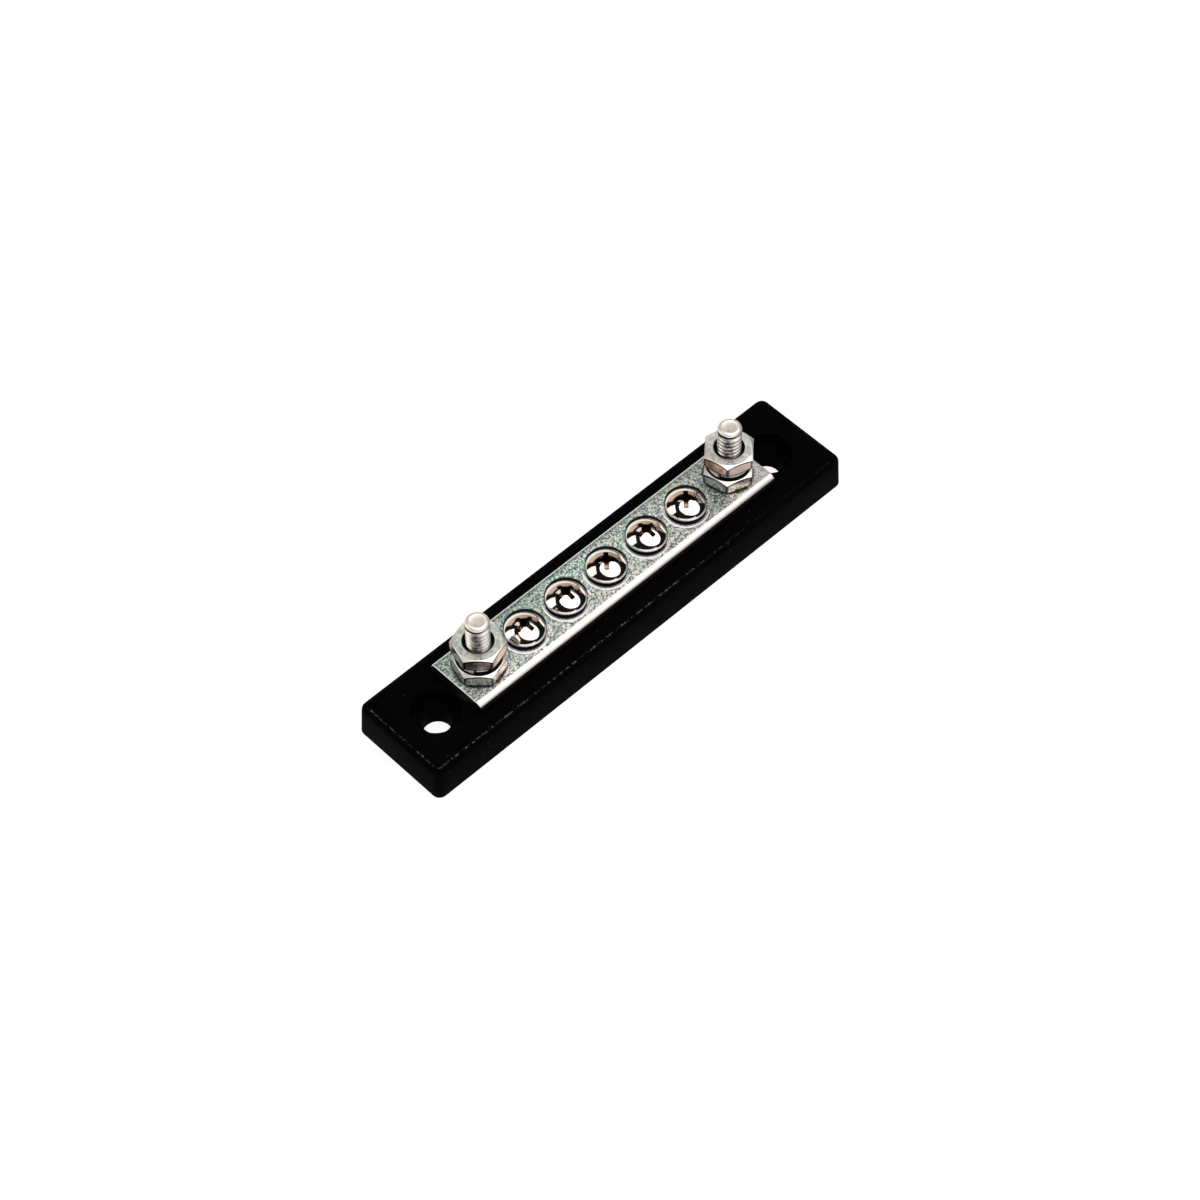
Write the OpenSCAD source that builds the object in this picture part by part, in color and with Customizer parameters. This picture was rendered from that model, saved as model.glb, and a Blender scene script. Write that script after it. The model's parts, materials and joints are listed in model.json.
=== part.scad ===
// Bus bar: a tinned flat bar on a moulded insulating base, with a row of terminal screws
// in the bar and a stud with nuts near each end.
// Frame: +X along the base, +Z up, origin under the middle of the base. Millimetres.

/* [Base] */
// Width of the base along its foot
base_w = 23; // [22:0.5:32]
// Height of the base
base_h = 8; // [7.5:0.1:14]
// Plan radius of the base's corners at the foot
base_corner_r = 1.7; // [1.6:0.1:5]
// Rounding of the base's top edges
base_edge_r = 1.2; // [0.4:0.1:1.6]
// Lean of the base's sides, in degrees
base_draft = 2.5; // [0:0.5:4]
// Thickness of the side walls round the cored underside
base_wall = 2.4; // [1.6:0.2:3.2]
// Thickness of the deck over the cored underside
deck_t = 3.2; // [2.4:0.2:4.4]
// Width of the spine along the middle of the underside
spine_w = 8.4; // [7.4:0.2:9.4]
// Thickness of the cross ribs under the fasteners and of the walls round their bosses
rib_t = 1.8; // [1.2:0.2:3]
// Corner radius of the cored pockets
pocket_r = 0.8; // [0.4:0.1:1.2]

/* [Mounting holes] */
// Distance from the end of the bar to the nearest mounting hole
mount_gap = 5.15; // [4.8:0.05:20]
// Distance from a mounting hole to the end of the base
mount_inset = 10.15; // [8:0.05:20]
// Diameter of the mounting holes
mount_hole_d = 5.9; // [4:0.1:6.4]
// Diameter of the recess for the mounting screw's head
mount_recess_d = 10.2; // [8.6:0.1:10.4]
// Depth of that recess below the deck
mount_recess_depth = 3.5; // [2:0.1:4.5]

/* [Bar] */
// Length of the bar beyond each stud
plate_overhang = 6.2; // [5.6:0.1:16]
// Width of the bar
plate_w = 14.2; // [12:0.1:18]
// Thickness of the bar
plate_t = 3.2; // [2.4:0.1:4.8]
// Rounding of the bar's long edges
plate_edge_r = 1.5; // [0.3:0.1:2]

/* [Terminal screws] */
// Number of screws
screw_count = 5; // [3:1:12]
// Distance from one screw to the next
screw_pitch = 10.85; // [9.6:0.05:16]
// Outside diameter of the screw's thread
screw_d = 4.2; // [3.9:0.1:4.8]
// Pitch diameter of the screw's thread, at which it sits in the bar
screw_pitch_d = 3.7; // [3.2:0.1:3.8]
// Length of the screw under its head
screw_len = 8; // [6:0.5:8.5]
// Diameter of the screw's head
screw_head_d = 8.2; // [7:0.1:9.2]
// Height of the screw's head
screw_head_h = 2.7; // [2.2:0.1:3.2]
// Height of the upright side of the head
screw_side_h = 0.9; // [0.6:0.1:1.2]
// Rounding between the head's side and its dome
screw_shoulder_r = 0.5; // [0.2:0.1:0.8]
// Tip to tip span of the cross recess
recess_span = 5.2; // [3.6:0.1:5.4]
// Width of the cross recess's wings
recess_wing_w = 1; // [0.7:0.1:1.3]
// Depth of the cross recess
recess_depth = 1.9; // [1.2:0.1:2.2]
// Span of the cross recess's wings at the bottom
recess_root = 1.5; // [1:0.1:2]
// Diameter of the recess's middle cone at the top
recess_core_d = 2; // [1.6:0.1:3.2]

/* [Studs] */
// Distance from the end screw of the row to the stud
stud_gap = 11.8; // [11:0.1:20]
// Outside diameter of the stud's thread
stud_d = 4.8; // [4.5:0.1:5.2]
// Pitch diameter of the stud's thread, also that of its plain shank
stud_pitch_d = 4.3; // [3.6:0.1:4.4]
// Free length of the stud above the terminal nut
stud_free = 6.3; // [3:0.1:12]
// Chamfer at the stud's tip
stud_tip_chamfer = 0.6; // [0.3:0.1:1]
// Width across flats of the stud's head
stud_head_af = 7.9; // [7:0.1:8.2]
// Diameter of the chamfered circle on the stud's head
stud_head_face_d = 7.4; // [6.6:0.1:7.8]
// Height of the stud's head
stud_head_h = 3; // [2:0.1:3.2]

/* [Nuts] */
// Width across flats of the nuts
nut_af = 9.5; // [8:0.1:10]
// Thickness of the nuts
nut_t = 3.2; // [2.4:0.1:4]
// Diameter of the chamfered circle on the nut's faces
nut_face_d = 9.2; // [7.4:0.1:9.4]
// Slope of the nut's corner chamfer, in degrees
nut_chamfer_angle = 30; // [15:1:40]
// Diameter of the countersink at the nut's bore
nut_countersink_d = 6.2; // [5.4:0.1:6.8]

/* [Lock washers] */
// Outside diameter of the lock washers
washer_d = 8.4; // [7.4:0.1:9]
// Thickness of the washer's section
washer_t = 1.2; // [0.8:0.1:1.6]
// Rise of the relaxed washer from one end of its turn to the other
washer_lift = 0.7; // [0.2:0.1:1.2]
// Width of the split
washer_split = 0.6; // [0.3:0.1:1.2]

/* [Fits] */
// Clearance on the diameter of a hole that a stud's thread passes through
stud_clearance = 0.3; // [0.2:0.05:0.5]
// Clearance on the diameter between an engaged thread and its tapped hole
thread_clearance = 0.1; // [0.05:0.01:0.2]
// Clearance across flats between a stud's head and its pocket
head_clearance = 0.3; // [0.1:0.05:0.5]
// Depth of the stud's head below the foot of the base
head_sink = 0.4; // [0.2:0.1:0.8]
// Room round and below the screw's tip in the base
tip_room = 0.6; // [0.3:0.1:0.8]

/* [Hidden] */
// Smoothness of the round forms, and how far a cut reaches past a face
$fn = 64;
post_fn = 32;
edge_steps = 6;
dome_steps = 12;
turn_steps = 48;
cut = 1;
// Turns of the screws' cross recesses, each about its own axis
screw_turns = [9, 2, 49, 2, 47];
// Turn of each stud's nuts, and the place of each lock washer's split
nut_turns = [16, 42];
split_turns = [217, 200];

// Places along the base, from the middle outwards
ends = [0, 1];
screw_xs = [for (i = [0 : screw_count - 1]) (i - (screw_count - 1) / 2) * screw_pitch];
stud_x = (screw_count - 1) / 2 * screw_pitch + stud_gap;
plate_l = 2 * (stud_x + plate_overhang);
mount_x = plate_l / 2 + mount_gap;
base_l = 2 * (mount_x + mount_inset);
stud_xs = [-stud_x, stud_x];
mount_xs = [-mount_x, mount_x];

// Heights of the stack
plate_z = base_h;
plate_top = plate_z + plate_t;
washer_z = plate_top + nut_t;
terminal_nut_z = washer_z + washer_t + washer_lift;
stud_free_z = terminal_nut_z + nut_t;
stud_tip_z = stud_free_z + stud_free;
head_pocket_depth = stud_head_h + head_sink;
screw_tip_z = plate_top - screw_len;

// Rounding that the bar's thickness leaves room for
plate_round = min(plate_edge_r, 0.48 * plate_t);

// Sizes of the fitted holes and of the cored underside
stud_hole_d = stud_d + stud_clearance;
screw_hole_d = screw_pitch_d + thread_clearance;
nut_bore_d = stud_pitch_d + thread_clearance;
head_pocket_af = stud_head_af + head_clearance;
tip_hole_d = screw_d + 2 * tip_room;
core_h = base_h - deck_t;
pocket_w = (base_w - spine_w) / 2 - base_wall;
end_rib_x = base_l / 2 - base_wall + rib_t / 2;
rib_xs = concat([-end_rib_x, -mount_x, -stud_x], screw_xs, [stud_x, mount_x, end_rib_x]);
stud_boss_d = head_pocket_af / cos(30) + 2 * rib_t;
mount_boss_d = mount_recess_d + 2 * rib_t;

// Points of an arc about c from angle a0 to a1
function arc(c, r, a0, a1, steps) =
    [for (i = [0 : steps]) let (a = a0 + (a1 - a0) * i / steps) c + r * [cos(a), sin(a)]];

// Corner post of the base: leaning side, rounded top edge
module corner_post() {
    lean = tan(base_draft);
    widest_r = (base_corner_r - base_h * lean) / (1 / cos(base_draft) - lean);
    r = min(base_edge_r, widest_r);
    centre = [base_corner_r - (base_h - r) * lean - r / cos(base_draft), base_h - r];
    rotate_extrude($fn = post_fn)
        polygon(concat(
            [[0, 0], [base_corner_r, 0]],
            arc(centre, r, base_draft, 90, edge_steps),
            [[0, base_h]]
        ));
}

module base_block() {
    x = base_l / 2 - base_corner_r;
    y = base_w / 2 - base_corner_r;
    hull()
        for (sx = [-1, 1], sy = [-1, 1])
            translate([sx * x, sy * y, 0])
                corner_post();
}

// Flat outline with rounded corners, centred
module rounded_outline(l, w, r) {
    square([l - 2 * r, w], center = true);
    square([l, w - 2 * r], center = true);
    for (sx = [-1, 1], sy = [-1, 1])
        translate([sx * (l / 2 - r), sy * (w / 2 - r)])
            circle(r);
}

module boss(x, d) {
    translate([x, 0, -2 * cut])
        cylinder(d = d, h = core_h + 3 * cut);
}

// Cored pockets between the ribs of the underside, kept clear of the bosses
module underside_pockets() {
    difference() {
        for (k = [1 : len(rib_xs) - 1], side = [-1, 1])
            translate([(rib_xs[k - 1] + rib_xs[k]) / 2, side * (spine_w + pocket_w) / 2, -cut])
                linear_extrude(core_h + cut)
                    rounded_outline(rib_xs[k] - rib_xs[k - 1] - rib_t, pocket_w, pocket_r);
        for (x = stud_xs)
            boss(x, stud_boss_d);
        for (x = mount_xs)
            boss(x, mount_boss_d);
    }
}

module mounting_hole() {
    translate([0, 0, -cut])
        cylinder(d = mount_hole_d, h = base_h + 2 * cut);
    translate([0, 0, base_h - mount_recess_depth])
        cylinder(d = mount_recess_d, h = mount_recess_depth + cut);
}

// Through hole of a stud with the hex pocket for its head
module stud_socket(turn) {
    translate([0, 0, -cut])
        cylinder(d = stud_hole_d, h = base_h + 2 * cut);
    translate([0, 0, -cut])
        rotate(turn)
            cylinder(d = head_pocket_af / cos(30), h = head_pocket_depth + cut, $fn = 6);
}

module base() {
    color([0.03, 0.03, 0.035])
        difference() {
            base_block();
            underside_pockets();
            for (x = mount_xs)
                translate([x, 0, 0])
                    mounting_hole();
            for (i = ends)
                translate([stud_xs[i], 0, 0])
                    stud_socket(nut_turns[i]);
            for (x = screw_xs)
                translate([x, 0, screw_tip_z - tip_room])
                    cylinder(d = tip_hole_d, h = base_h);
        }
}

module bus_plate() {
    color([0.74, 0.76, 0.72])
        difference() {
            translate([-plate_l / 2, 0, plate_z + plate_t / 2])
                rotate([90, 0, 90])
                    linear_extrude(plate_l)
                        rounded_outline(plate_w, plate_t, plate_round);
            for (x = stud_xs)
                translate([x, 0, plate_z - cut])
                    cylinder(d = stud_hole_d, h = plate_t + 2 * cut);
            for (x = screw_xs)
                translate([x, 0, plate_z - cut])
                    cylinder(d = screw_hole_d, h = plate_t + 2 * cut);
        }
}

// Pan head: upright side, rounded shoulder and a dome
module pan_head() {
    r = screw_head_d / 2;
    s = screw_shoulder_r;
    rise = screw_head_h - screw_side_h;
    run = r - s * (1 - cos(45));
    dome_r = (run * run + rise * rise) / (2 * rise);
    slope = asin(run / dome_r);
    rotate_extrude()
        polygon(concat(
            [[0, 0], [r, 0]],
            arc([r - s, screw_side_h - s * sin(45)], s, 0, 45, edge_steps),
            arc([0, screw_head_h - dome_r], dome_r, 90 - slope, 90, dome_steps)
        ));
}

// Cross recess: two crossed wedges and a cone, cut down from height 0
module cross_recess() {
    tip = recess_span / 2;
    root = recess_root / 2;
    for (turn = [0, 90])
        rotate(turn)
            rotate([90, 0, 0])
                translate([0, 0, -recess_wing_w / 2])
                    linear_extrude(recess_wing_w)
                        polygon([[-tip, cut], [-tip, 0], [-root, -recess_depth],
                                 [root, -recess_depth], [tip, 0], [tip, cut]]);
    translate([0, 0, -recess_depth])
        cylinder(d1 = recess_wing_w, d2 = recess_core_d, h = recess_depth);
}

module terminal_screw(i) {
    color([0.86, 0.84, 0.82])
        translate([screw_xs[i - 1], 0, plate_top]) {
            difference() {
                pan_head();
                translate([0, 0, screw_head_h])
                    rotate(screw_turns[(i - 1) % len(screw_turns)])
                        cross_recess();
            }
            translate([0, 0, -screw_len])
                cylinder(d = screw_pitch_d, h = screw_len);
        }
}

// Hex blank with its corners chamfered on both faces
module hex_blank(af, h, face_d) {
    corner_r = af / cos(30) / 2;
    drop = (corner_r - face_d / 2) * tan(nut_chamfer_angle);
    intersection() {
        cylinder(r = corner_r, h = h, $fn = 6);
        rotate_extrude()
            polygon([[0, 0], [face_d / 2, 0], [corner_r, drop],
                     [corner_r, h - drop], [face_d / 2, h], [0, h]]);
    }
}

// Countersink of the nut's lower face
module nut_countersink() {
    sink = (nut_countersink_d - nut_bore_d) / 2;
    translate([0, 0, -sink])
        cylinder(d1 = nut_countersink_d + 2 * sink, d2 = nut_bore_d, h = 2 * sink);
}

// Hex nut with its bore countersunk on both faces
module hex_nut() {
    difference() {
        hex_blank(nut_af, nut_t, nut_face_d);
        translate([0, 0, -cut])
            cylinder(d = nut_bore_d, h = nut_t + 2 * cut);
        nut_countersink();
        translate([0, 0, nut_t])
            mirror([0, 0, 1])
                nut_countersink();
    }
}

module stud_bolt(i) {
    color([0.8, 0.77, 0.72])
        translate([stud_xs[i], 0, 0]) {
            translate([0, 0, head_sink])
                rotate(nut_turns[i])
                    hex_blank(stud_head_af, stud_head_h, stud_head_face_d);
            translate([0, 0, head_pocket_depth])
                cylinder(d = stud_pitch_d, h = stud_free_z - head_pocket_depth);
            translate([0, 0, stud_free_z])
                cylinder(d = stud_d, h = stud_free - stud_tip_chamfer);
            translate([0, 0, stud_tip_z - stud_tip_chamfer])
                cylinder(d1 = stud_d, d2 = stud_d - 2 * stud_tip_chamfer, h = stud_tip_chamfer);
        }
}

module clamp_nut(i) {
    color([0.68, 0.68, 0.64])
        translate([stud_xs[i], 0, plate_top])
            rotate(nut_turns[i])
                hex_nut();
}

module terminal_nut(i) {
    color([0.7, 0.7, 0.66])
        translate([stud_xs[i], 0, terminal_nut_z])
            rotate(nut_turns[i])
                hex_nut();
}

// Split spring washer: one left-hand turn of a flat section, swept along its rise
module lock_washer(i) {
    r_out = washer_d / 2;
    r_in = stud_hole_d / 2;
    gap = asin(washer_split / r_out);
    points = [for (k = [0 : turn_steps])
        let (a = -gap / 2 - (360 - gap) * k / turn_steps, z = washer_lift * k / turn_steps)
            each [for (p = [[r_in, 0], [r_out, 0], [r_out, washer_t], [r_in, washer_t]])
                [p[0] * cos(a), p[0] * sin(a), z + p[1]]]];
    sides = [for (k = [0 : turn_steps - 1], j = [0 : 3])
        [4 * k + j, 4 * k + (j + 1) % 4, 4 * k + 4 + (j + 1) % 4, 4 * k + 4 + j]];
    color([0.55, 0.53, 0.5])
        translate([stud_xs[i], 0, washer_z])
            rotate(split_turns[i])
                polyhedron(
                    points,
                    concat([[3, 2, 1, 0]], sides, [[for (j = [0 : 3]) 4 * turn_steps + j]])
                );
}

base();
bus_plate();
for (i = [1 : screw_count])
    terminal_screw(i);
for (i = ends) {
    stud_bolt(i);
    clamp_nut(i);
    lock_washer(i);
    terminal_nut(i);
}
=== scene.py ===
"""Bus bar: a black moulded base, a tinned bar, bright pan-head screws and nutted studs.

Pieces are modelled in millimetres about their own axis, then brought to their place in metres.
"""

import json
import math
from functools import reduce

import bmesh
import bpy
from mathutils import Matrix, Vector


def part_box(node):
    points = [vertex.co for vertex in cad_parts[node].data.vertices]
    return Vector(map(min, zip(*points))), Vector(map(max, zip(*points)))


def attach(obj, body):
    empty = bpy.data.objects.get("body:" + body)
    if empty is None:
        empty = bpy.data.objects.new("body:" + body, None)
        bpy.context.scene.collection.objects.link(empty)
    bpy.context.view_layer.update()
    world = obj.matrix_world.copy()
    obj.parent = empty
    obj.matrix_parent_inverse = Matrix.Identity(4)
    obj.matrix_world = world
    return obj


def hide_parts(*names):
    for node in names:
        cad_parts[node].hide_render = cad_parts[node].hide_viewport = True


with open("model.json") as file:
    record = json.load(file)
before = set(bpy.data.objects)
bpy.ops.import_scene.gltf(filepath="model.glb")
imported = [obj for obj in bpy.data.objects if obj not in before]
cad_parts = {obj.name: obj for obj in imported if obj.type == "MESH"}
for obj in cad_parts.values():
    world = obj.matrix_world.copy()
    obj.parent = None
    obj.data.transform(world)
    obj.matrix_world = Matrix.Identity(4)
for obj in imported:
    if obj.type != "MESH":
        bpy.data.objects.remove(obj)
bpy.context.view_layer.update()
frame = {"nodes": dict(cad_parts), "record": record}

MM = 0.001
SMOOTH_ANGLE = math.radians(28)
ENDS = (1, 2)
UP = Vector((0, 0, 1))


def node_box(node):
    """Lowest and highest corner of a CAD node, in millimetres."""
    low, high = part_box(node)
    return low / MM, high / MM


def node_middle(node):
    low, high = node_box(node)
    return (low + high) / 2


# Sizes that the frame gives
base_low, base_high = node_box("base")
BASE_SIZE = base_high - base_low
DECK_Z = base_high.z
bar_low, bar_high = node_box("bus_plate")
BAR_SIZE = bar_high - bar_low
BAR_TOP = bar_high.z
SCREWS = sorted(name for name in frame["nodes"] if name.startswith("terminal_screw_"))
SCREW_X = [node_middle(name).x for name in SCREWS]
SCREW_LEN = BAR_TOP - node_box(SCREWS[0])[0].z
STUD_X = [node_middle(f"clamp_nut_{end}").x for end in ENDS]
lower_low, lower_high = node_box("clamp_nut_1")
NUT_T = lower_high.z - lower_low.z
UPPER_NUT_Z = node_box("terminal_nut_1")[0].z
washer_low, washer_high = node_box("lock_washer_1")
stud_low, stud_high = node_box("stud_bolt_1")
holes = next(m for m in frame["record"]["mounts"] if m["name"] == "mounting_holes")["dims"]
HOLE_X = holes["spacing_x_mm"] / 2
HOLE_R = holes["hole_r_mm"]

# Sizes of the moulded base
BASE_DRAFT = math.radians(2.5)
BASE_CORNER_R = 1.7
BASE_EDGE_R = 1.2
BASE_FOOT_R = 0.2
BASE_WALL = 2.4
DECK_T = 3.2
SPINE_W = 8.4
RIB_T = 1.8
POCKET_R = 0.8
RECESS_R = 5.1
RECESS_DEPTH = 3.5
LIP_R = 0.25
HOLE_LIP_R = 0.08
HEAD_POCKET_AF = 8.2
HEAD_POCKET_DEPTH = 3.4
STUD_HOLE_R = 2.55
TIP_HOLE_R = 2.7
TIP_HOLE_Z = 2.6

# Sizes of the bar
BAR_EDGE_R = 1.5
BAR_END_R = 0.2
SCREW_HOLE_R = 1.9

# Sizes of the screws, from the bar's top
SCREW_SHANK_R = 1.85
SCREW_TIP_CHAMFER = 0.5
HEAD_R = 4.1
HEAD_H = 2.7
HEAD_FOOT = 0.15
DOME_R = 5.23
RIM_R = 0.9
CROSS_SPAN = 5.2
CROSS_W = 1.0
CROSS_DEPTH = 1.9
CROSS_ROOT = 1.5
CROSS_TAPER = 0.85
CROSS_END_R = 0.18
CROSS_CORE_R = 1.0
CROSS_CORE_DROP = 0.02
CROSS_CORE_RISE = 0.4
CROSS_TURNS = (9, 2, 49, 2, 47)

# Sizes of the studs, nuts and washers
PITCH = 1.06
CREST_R = 2.4
CREST_FLAT = 0.1
ROOT_R = 1.97
ROOT_FLAT = 0.2
THREAD_START = 0.4
THREAD_RUNOUT = (0.45, 0.2)
SHANK_OVERLAP = (0.5, 0.3)
SHANK_R = 2.15
NECK_R = 2.0
CAP_RIM = 0.15
TIP_CHAMFER = 0.65
TIP_FACE_R = 1.65
TIP_DISH = 0.15
HEX_HEAD_AF = 7.9
HEX_HEAD_H = 3.0
HEX_HEAD_FACE_R = 3.7
NUT_AF = 9.5
NUT_FACE_R = 4.6
NUT_CHAMFER = math.radians(30)
NUT_SINK_R = 3.1
NUT_BORE_R = 2.45
NUT_TURNS = (16, 42)
WASHER_IN_R = 2.55
WASHER_OUT_R = 4.2
WASHER_T = 1.2
WASHER_SPLIT = 0.6
WASHER_EDGE_R = 0.15
SPLIT_TURNS = (217, 200)

# Steps of the round forms
ROUND = 96
BORE_STEPS = 48
CONE_STEPS = 32
THREAD_STEPS = 48
WASHER_STEPS = 90

# Reach of a cutting tool past the piece, a small clearance, turns of thread to spare, and distances
# that count as none
SPARE = 1.0
CLEAR = 0.1
SPARE_TURNS = 2
MERGE = 0.0005
TOUCH = 0.001

# The camera that took the photograph, with the ways that point away from it and to its right
FRAME_PX = 1200
FOCAL_PX = 3462.8
SENSOR = 36
CAMERA_AT = Vector((-281.34, -291.24, 544.93))
CAMERA_YAW = math.radians(43.832)
CAMERA_PITCH = math.radians(53.343)
CAMERA_ROLL = math.radians(-0.342)
AWAY = Vector((math.sin(CAMERA_YAW), math.cos(CAMERA_YAW), 0))
RIGHT = Vector((math.cos(CAMERA_YAW), -math.sin(CAMERA_YAW), 0))

# Sizes of the studio, in metres, with the brightness of its lamps and its floor
FLOOR_SIZE = 6.0
FLOOR_GLOW = 0.9
FLOOR_DARK = 0.05
FLOOR_SHADE = 0.16
KEY_UP, KEY_RIGHT, KEY_NEAR = 0.8, 0.508, 0.0848
KEY_SIZE = (1.8, 1.288)
KEY_GLOW = 1.8
LEFT_TURN = math.radians(-91.5)
LEFT_RISE = math.radians(23)
LEFT_REACH = 0.85
LEFT_SIZE = (0.74, 0.52)
LEFT_GLOW = 1.6


# Modelling by hand
def activate(piece):
    bpy.ops.object.select_all(action="DESELECT")
    piece.select_set(True)
    bpy.context.view_layer.objects.active = piece


def open_new(name):
    """Names the primitive that was just added and opens it in edit mode, all selected."""
    piece = bpy.context.object
    piece.name = name
    bpy.ops.object.mode_set(mode="EDIT")
    bpy.ops.mesh.select_mode(type="VERT")
    bpy.ops.mesh.select_all(action="SELECT")
    return piece


def close(piece):
    """Merges doubles, turns the faces outwards and leaves edit mode."""
    bpy.ops.mesh.select_all(action="SELECT")
    bpy.ops.mesh.remove_doubles(threshold=MERGE)
    bpy.ops.mesh.normals_make_consistent(inside=False)
    bpy.ops.object.mode_set(mode="OBJECT")
    return piece


def pick(piece, kind, test):
    """Selects only the edges or faces that pass the test."""
    bpy.ops.mesh.select_mode(type={"edges": "EDGE", "faces": "FACE"}[kind])
    bpy.ops.mesh.select_all(action="DESELECT")
    mesh = bmesh.from_edit_mesh(piece.data)
    for item in getattr(mesh, kind):
        item.select_set(bool(test(item)))
    bmesh.update_edit_mesh(piece.data)


def along(edge):
    return (edge.verts[1].co - edge.verts[0].co).normalized()


def is_upright(edge):
    return abs(along(edge).z) > 0.9


def lowest(edge):
    return min(v.co.z for v in edge.verts)


def highest(edge):
    return max(v.co.z for v in edge.verts)


def round_off(radius, segments):
    """Rounds the edges that are selected."""
    bpy.ops.mesh.bevel(offset=radius, segments=segments, affect="EDGES")


def apply_modifier(piece, kind, **settings):
    activate(piece)
    modifier = piece.modifiers.new(kind.lower(), kind)
    for key, value in settings.items():
        setattr(modifier, key, value)
    bpy.ops.object.modifier_apply(modifier=modifier.name)


def carve(piece, tool, operation="DIFFERENCE"):
    """Cuts a piece with a tool, or joins or intersects them, and puts the tool away."""
    apply_modifier(piece, "BOOLEAN", object=tool, operation=operation, solver="EXACT")
    bpy.data.objects.remove(tool)


def block(name, size, middle_at=(0, 0, 0)):
    """A box of the given size, left open in edit mode."""
    bpy.ops.object.select_all(action="DESELECT")
    bpy.ops.mesh.primitive_cube_add(size=1)
    piece = open_new(name)
    bpy.ops.transform.resize(value=size)
    bpy.ops.transform.translate(value=middle_at)
    return piece


def drawn_line(name, points):
    """One vertex drawn out through (radius, height) points in the XZ plane, left open in edit mode."""
    bpy.ops.object.select_all(action="DESELECT")
    bpy.ops.mesh.primitive_plane_add(size=1)
    piece = open_new(name)
    bpy.ops.mesh.merge(type="CENTER")
    bpy.ops.transform.translate(value=(points[0][0], 0, points[0][1]))
    for (r0, z0), (r1, z1) in zip(points, points[1:]):
        bpy.ops.mesh.extrude_region_move(TRANSFORM_OT_translate={"value": (r1 - r0, 0, z1 - z0)})
    bpy.ops.mesh.select_all(action="SELECT")
    return piece


def turned(name, points, steps=ROUND):
    """A solid turned about Z from a profile that starts and ends on the axis."""
    piece = drawn_line(name, points)
    bpy.ops.mesh.spin(steps=steps, angle=2 * math.pi, center=(0, 0, 0), axis=(0, 0, 1))
    return close(piece)


def pin(name, radius, low, high, steps=ROUND):
    """A plain round bar on the Z axis."""
    return turned(name, [(0, low), (radius, low), (radius, high), (0, high)], steps)


def swept(piece, angle, rise, rounds, steps):
    """Sweeps the open section round Z as a helix, merges its seams and closes its ends."""
    bpy.ops.object.mode_set(mode="OBJECT")
    apply_modifier(
        piece, "SCREW", axis="Z", angle=angle, screw_offset=rise, iterations=rounds,
        steps=steps, render_steps=steps, use_merge_vertices=False, use_smooth_shade=False,
    )
    bpy.ops.object.mode_set(mode="EDIT")
    bpy.ops.mesh.select_all(action="SELECT")
    bpy.ops.mesh.remove_doubles(threshold=TOUCH)
    bpy.ops.mesh.fill_holes(sides=0)
    return close(piece)


def arc(centre, radius, start, end, steps):
    """Points of an arc in (radius, height), angles in degrees from the outward direction."""
    angles = [math.radians(start + (end - start) * i / steps) for i in range(steps + 1)]
    return [(centre[0] + radius * math.cos(a), centre[1] + radius * math.sin(a)) for a in angles]


def moved(piece, place=(0, 0, 0), turn=0.0):
    """Puts a tool at its place, turned about Z in degrees."""
    activate(piece)
    piece.location = place
    piece.rotation_euler.z = math.radians(turn)
    bpy.ops.object.transform_apply(location=True, rotation=True, scale=True)
    return piece


def joined(pieces):
    activate(pieces[0])
    for piece in pieces:
        piece.select_set(True)
    bpy.ops.object.join()
    return pieces[0]


def settle(piece, name, node, finish, place, turn=0.0):
    """Brings a finished piece to its place in metres, gives it its finish, hangs it under the root body and
    hides the CAD node that it replaces.
    """
    activate(piece)
    piece.name = name
    piece.data.name = name
    piece.location = Vector(place) * MM
    piece.rotation_euler.z = math.radians(turn)
    piece.scale = (MM, MM, MM)
    bpy.ops.object.transform_apply(location=True, rotation=True, scale=True)
    bpy.ops.object.shade_smooth_by_angle(angle=SMOOTH_ANGLE)
    piece.data.materials.clear()
    piece.data.materials.append(finish)
    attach(piece, "root")
    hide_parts(node)
    return piece


def copy_of(model):
    """A copy with its own mesh."""
    piece = model.copy()
    piece.data = model.data.copy()
    bpy.context.scene.collection.objects.link(piece)
    return piece


def hex_corner_r(flats):
    """How far a hexagon's corners lie from its middle."""
    return flats / 2 / math.cos(math.radians(30))


def hex_prism(name, flats, height):
    """A six-sided bar standing on Z = 0, with a corner on +X."""
    bpy.ops.object.select_all(action="DESELECT")
    corner_r = hex_corner_r(flats)
    bpy.ops.mesh.primitive_cylinder_add(vertices=6, radius=corner_r, depth=height)
    piece = open_new(name)
    bpy.ops.transform.translate(value=(0, 0, height / 2))
    low_corner = min(v.co.y for v in bmesh.from_edit_mesh(piece.data).verts)
    if abs(low_corner) > corner_r * 0.99:
        bpy.ops.transform.rotate(value=math.radians(30), orient_axis="Z", center_override=(0, 0, 0))
    return close(piece)


def hex_blank(name, flats, height, face_r):
    """A hex prism with its corners chamfered by a cone on both faces."""
    piece = moved(hex_prism(name, flats, height + SPARE), (0, 0, -SPARE / 2))
    reach = hex_corner_r(flats) + 2 * CLEAR
    drop = (reach - face_r) * math.tan(NUT_CHAMFER)
    lathe = turned("chamfer_tool", [
        (0, 0), (face_r, 0), (reach, drop), (reach, height - drop), (face_r, height), (0, height),
    ])
    carve(piece, lathe, "INTERSECT")
    return piece


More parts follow.
